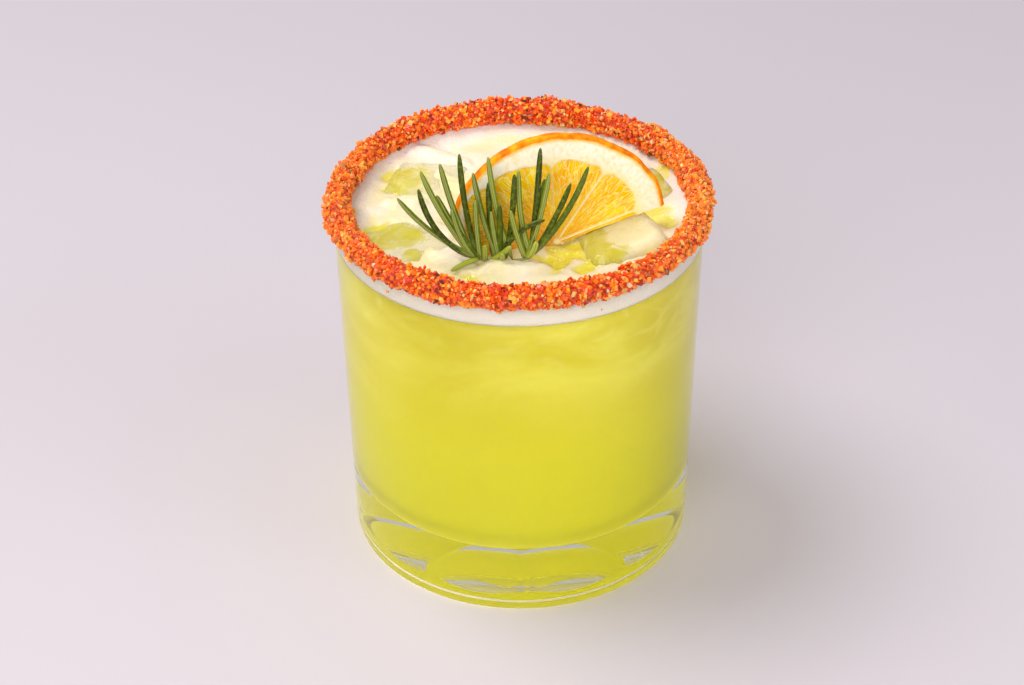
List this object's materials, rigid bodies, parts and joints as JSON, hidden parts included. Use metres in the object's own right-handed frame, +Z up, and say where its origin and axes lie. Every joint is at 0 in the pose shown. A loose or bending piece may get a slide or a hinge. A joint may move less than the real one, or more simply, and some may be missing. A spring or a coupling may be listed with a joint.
{
  "type": "margarita cocktail",
  "caption": "Cloudy yellow-green cocktail in a heavy-based tumbler with a chilli salt rim, ice, foam, a dried orange half wheel and a rosemary sprig",
  "frame": {"origin": "centre of the ring the glass stands on, at table height", "axes": "+Z up along the glass's axis, -Y towards the front, where the sprig stands before the orange slice"},
  "size_m": [0.0948, 0.0946, 0.1195],
  "materials": {
    "glass": "clear polished glass",
    "drink": "cloudy yellow-green drink",
    "foam": "fine creamy foam, wet",
    "ice": "wet melting ice, tinted by the drink",
    "orange": "dried orange: bumpy rind, pale pith, glossy flesh",
    "rosemary": "leathery green needles",
    "chilli_salt": "coarse chilli and salt grains"
  },
  "bodies": {
    "root": {"glass": "glass", "drink": "drink", "foam": "foam", "ice_back_left": "ice", "ice_front_left": "ice", "ice_front_right": "ice", "ice_back_right": "ice", "orange_slice": "orange", "rosemary_sprig": "rosemary", "chilli_salt_rim": "chilli_salt"}
  },
  "joints": []
}
